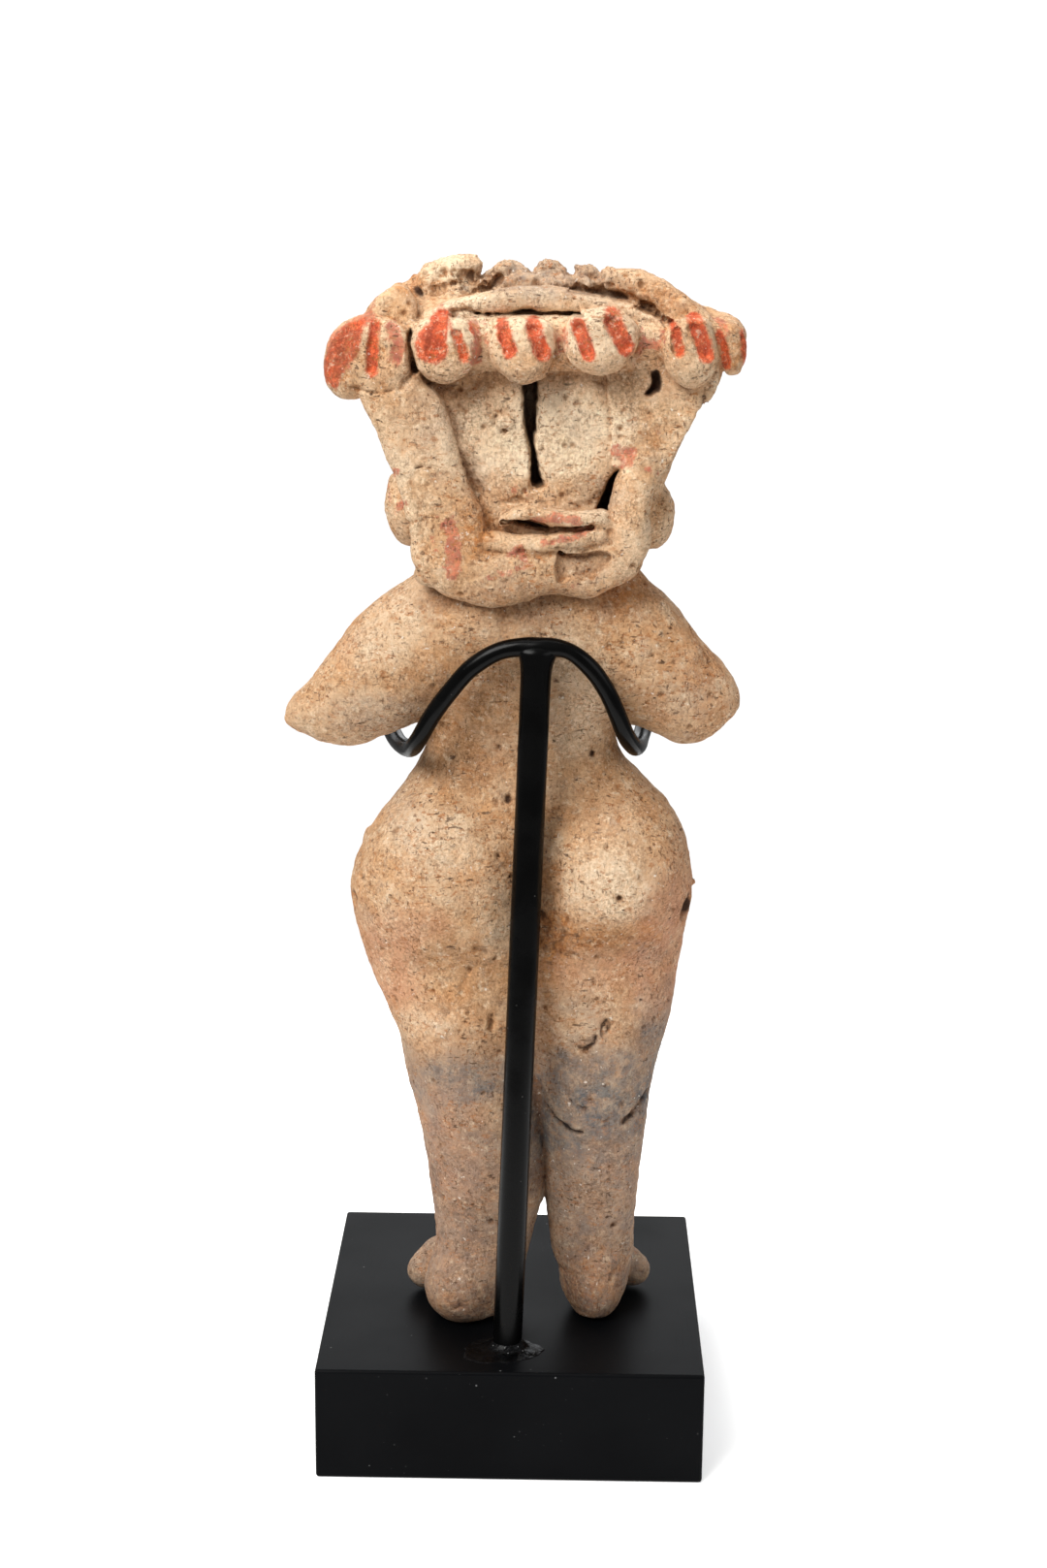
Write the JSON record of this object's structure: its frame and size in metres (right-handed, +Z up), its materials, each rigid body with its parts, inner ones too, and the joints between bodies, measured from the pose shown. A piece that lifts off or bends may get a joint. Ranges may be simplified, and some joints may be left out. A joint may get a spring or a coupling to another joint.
{
  "type": "fired-clay fertility figure on a display stand",
  "caption": "Standing nude figure of fired clay with stump arms, full hips and a flat head under a red-painted pellet headdress, held by a black rod and wire cradle on a square block.",
  "frame": {"origin": "centre of the base block's underside, on the surface that it stands on", "axes": "+Z up, +Y the way the figure faces, -Y its back with the rod and cradle, +X to the right when the back is seen"},
  "size_m": [0.0769, 0.066, 0.2036],
  "materials": {
    "fired_clay": "unglazed buff fired clay with burial dirt, grey fire clouds and traces of orange-red slip",
    "black_acrylic": "satin black with fine dust",
    "black_steel": "semi-gloss black paint over steel rod and wire, with small chips",
    "black_glue": "glossy hardened adhesive"
  },
  "bodies": {
    "root": {"figure": "fired_clay", "base": "black_acrylic", "post": "black_steel", "cradle": "black_steel", "foot_adhesive": "black_glue"}
  },
  "joints": []
}
